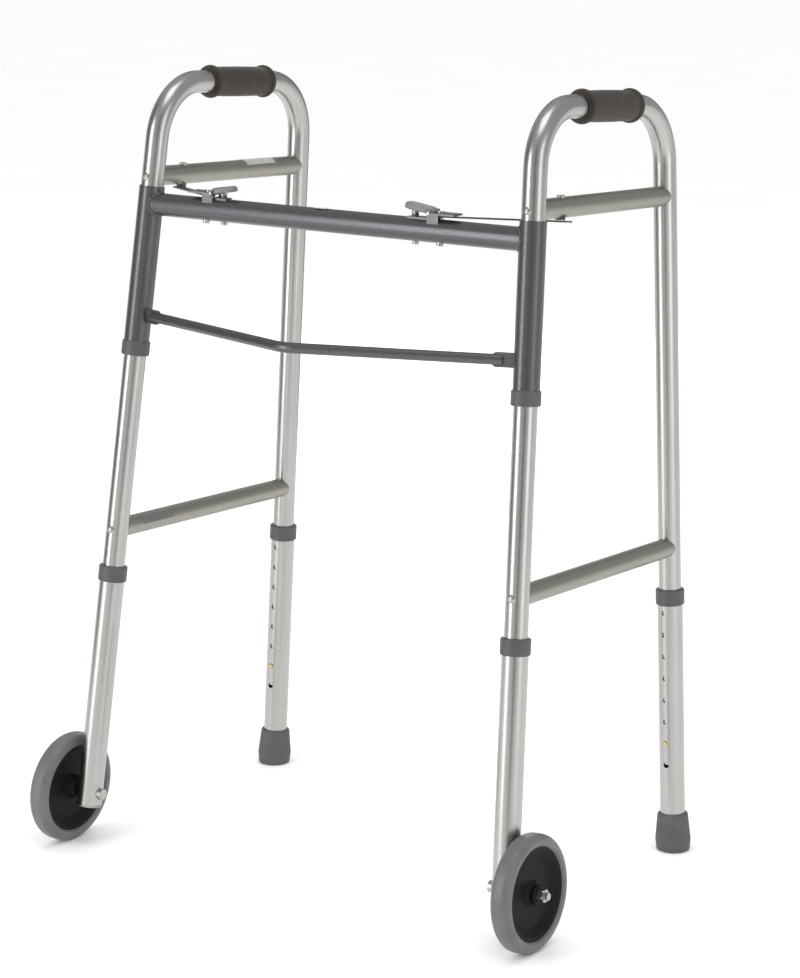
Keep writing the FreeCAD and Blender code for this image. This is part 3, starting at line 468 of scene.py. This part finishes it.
def weld_beads():
    low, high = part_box("crossbar")
    bar = (low + high) / 2
    for side in SIDES:
        weld(side + "_crossbar_weld", side, bar.y, bar.z, (high.z - low.z) / 2)


# ---- labels ------------------------------------------------------------------------------------
LABEL_LIFT = 0.00012         # how far a label's two faces lie above and below the tube's surface
LABEL_COLUMNS = 24


def tube_label(name, node, along_share, length, facing, sweep, kind, body):
    """A blank label wrapped on a straight tube, over the side that faces this direction."""
    middle, direction, span = long_axis(node)
    if direction.x + direction.y < 0:
        direction = -direction
    up = Vector(facing)
    up = (up - direction * up.dot(direction)).normalized()
    out = direction.cross(up)
    radius = max((Vector(c) - middle).cross(direction).length for c in corners(node))
    middle = middle + direction * (along_share * span)
    # four lines of points round the tube: the outer face's two ends, then the inner face's
    lines = ((-0.5, LABEL_LIFT), (0.5, LABEL_LIFT), (0.5, -LABEL_LIFT), (-0.5, -LABEL_LIFT))
    vertices = []
    for end, lift in lines:
        for k in range(LABEL_COLUMNS + 1):
            angle = math.radians(sweep * (k / LABEL_COLUMNS - 0.5))
            spoke = up * math.cos(angle) + out * math.sin(angle)
            vertices.append(middle + direction * (length * end) + spoke * (radius + lift))
    starts = [line * (LABEL_COLUMNS + 1) for line in range(len(lines))]
    faces = [(a + k, a + k + 1, b + k + 1, b + k)
             for a, b in zip(starts, starts[1:] + starts[:1]) for k in range(LABEL_COLUMNS)]
    faces += [tuple(starts), tuple(a + LABEL_COLUMNS for a in reversed(starts))]
    made = piece_of(name, vertices, faces, MATERIALS[kind], smooth=False)
    fix_normals(made)
    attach(made, body)


def labels():
    tube_label("brace_label_pale", "left_upper_brace", 0.2, 0.055, (0.25, 0, 1), 90,
               "label_pale", "left_side")
    tube_label("brace_label_dark", "left_lower_brace", -0.32, 0.055, (0.9, 0, 0.5), 50,
               "label_dark", "left_side")
    # a small white patch, 15 mm long, wrapped over the crossbar's top
    tube_label("bar_top_white_patch", "crossbar", -0.03, 0.015, (0, 0, 1), 34, "crossbar_white_patch",
               "front_brace")


# ---- axle threads ------------------------------------------------------------------------------
THREAD_PITCH = 0.00125
THREAD_WIRE = 0.00035
THREAD_LENGTH = 0.0034
THREAD_STEPS = 24            # points in each turn
AXLE_RADIUS = 0.004


def axle_thread(side):
    """The thread on the bolt's end, outboard of the nut."""
    middle, direction, length = long_axis(side + "_axle_bolt")
    if direction.x * middle.x < 0:
        direction = -direction
    nut_middle = sum(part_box(side + "_axle_nut"), Vector()) / 2
    end = middle + direction * (length / 2)
    centre = nut_middle + direction * (end - nut_middle).dot(direction)
    radius = AXLE_RADIUS - THREAD_WIRE / 2
    first, second = square_to(direction)
    path = []
    for k in range(int(THREAD_LENGTH / THREAD_PITCH * THREAD_STEPS) + 1):
        turn = 2 * math.pi * k / THREAD_STEPS
        back = THREAD_WIRE + THREAD_PITCH * k / THREAD_STEPS
        spoke = first * math.cos(turn) + second * math.sin(turn)
        path.append(centre - direction * back + spoke * radius)
    made = swept(side + "_axle_thread", path, [THREAD_WIRE] * len(path), "zinc", steps=6)
    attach(made, side + "_front_extension")


# ---- camera, light and floor -------------------------------------------------------------------
CAMERA_PLACE = (1.8658, -2.7032, 1.1912)
CAMERA_AZIMUTH = 34.04       # degrees from straight ahead of the walker, towards +X
CAMERA_PITCH = 13.12         # degrees down
LENS = 111.07                # millimetres, as is the sensor's width
SENSOR_WIDTH = 36


def camera():
    data = bpy.data.cameras.new("camera")
    data.lens = LENS
    data.sensor_width = SENSOR_WIDTH
    made = bpy.data.objects.new("camera", data)
    made.location = CAMERA_PLACE
    made.rotation_euler = (math.radians(90 - CAMERA_PITCH), 0, math.radians(CAMERA_AZIMUTH))
    bpy.context.scene.collection.objects.link(made)
    bpy.context.scene.camera = made


LIGHT_AIM = Vector((0, 0, 0.4))


def area_light(name, place, width, height, power):
    data = bpy.data.lights.new(name, "AREA")
    data.shape = "RECTANGLE"
    data.size = width
    data.size_y = height
    data.energy = power
    made = bpy.data.objects.new(name, data)
    made.location = place
    made.rotation_euler = (LIGHT_AIM - Vector(place)).to_track_quat("-Z", "Y").to_euler()
    bpy.context.scene.collection.objects.link(made)


FLAG_DISTANCE = 1.9
FLAG_HEIGHT = 2.4


def flag(name, azimuth, width, level):
    """A card that only reflections see: it gives the bright tubes their dark bands."""
    turn = math.radians(azimuth)
    away = Vector((math.sin(turn), -math.cos(turn), 0))
    across = Vector((math.cos(turn), math.sin(turn), 0)) * (width / 2)
    up = Vector((0, 0, FLAG_HEIGHT))
    base = away * FLAG_DISTANCE + Vector((0, 0, cad_low.z))
    paint = Paint(name + "_card", (level, level, level), roughness=1.0, Specular_IOR_Level=0.0)
    made = piece_of(name, [base - across, base + across, base + across + up, base - across + up],
                    [(0, 1, 2, 3)], paint.material, smooth=False)
    made.visible_camera = False
    made.visible_diffuse = False
    made.visible_shadow = False


SKY_FOR_DIFFUSE = 1.1
SKY_FOR_GLOSS = 0.5


def studio():
    """A white sky, weaker in reflections than on matt surfaces, with strip lights and cards."""
    world = bpy.data.worlds.new("studio")
    world.use_nodes = True
    tree = world.node_tree
    sky = tree.nodes["Background"]
    sky.inputs["Color"].default_value = (1, 1, 1, 1)
    sky.inputs["Strength"].default_value = SKY_FOR_DIFFUSE
    gloss = tree.nodes.new("ShaderNodeBackground")
    gloss.inputs["Color"].default_value = (1, 1, 1, 1)
    gloss.inputs["Strength"].default_value = SKY_FOR_GLOSS
    path = tree.nodes.new("ShaderNodeLightPath")
    mix = tree.nodes.new("ShaderNodeMixShader")
    tree.links.new(path.outputs["Is Glossy Ray"], mix.inputs["Fac"])
    tree.links.new(sky.outputs["Background"], mix.inputs[1])
    tree.links.new(gloss.outputs["Background"], mix.inputs[2])
    tree.links.new(mix.outputs["Shader"], tree.nodes["World Output"].inputs["Surface"])
    bpy.context.scene.world = world
    area_light("key_strip", (-1.55, -3.0, 1.1), width=0.75, height=2.6, power=42)
    area_light("side_strip", (2.9, -0.5, 1.2), width=1.3, height=2.2, power=14)
    area_light("top", (0.3, -0.4, 3.2), width=1.6, height=1.6, power=16)
    area_light("back_strip", (-1.6, 2.7, 1.4), width=0.8, height=2.2, power=16)
    flag("camera_flag", CAMERA_AZIMUTH, width=0.5, level=0.12)
    flag("left_flag", -70, width=1.0, level=0.12)
    flag("rear_flag", CAMERA_AZIMUTH + 170, width=1.9, level=0.2)
    bpy.context.scene.view_settings.view_transform = "Standard"
    bpy.context.scene.view_settings.look = "None"


FLOOR_REACH = 30.0


def floor():
    paint = Paint("floor_pale", (0.93, 0.93, 0.93), roughness=0.8)
    paint.vary_colour(paint.noise(scale=3, detail=2), (0.925, 0.925, 0.925), (0.935, 0.935, 0.935))
    corner_signs = ((-1, -1), (1, -1), (1, 1), (-1, 1))
    made = piece_of("floor", [(x * FLOOR_REACH, y * FLOOR_REACH, 0) for x, y in corner_signs],
                    [(0, 1, 2, 3)], paint.material, smooth=False)
    made.location.z = cad_low.z


# ---- the scene ---------------------------------------------------------------------------------
dress_frame()
for side in SIDES:
    grip(side)
    latch_spring(side)
    axle_thread(side)
weld_beads()
labels()
camera()
studio()
floor()
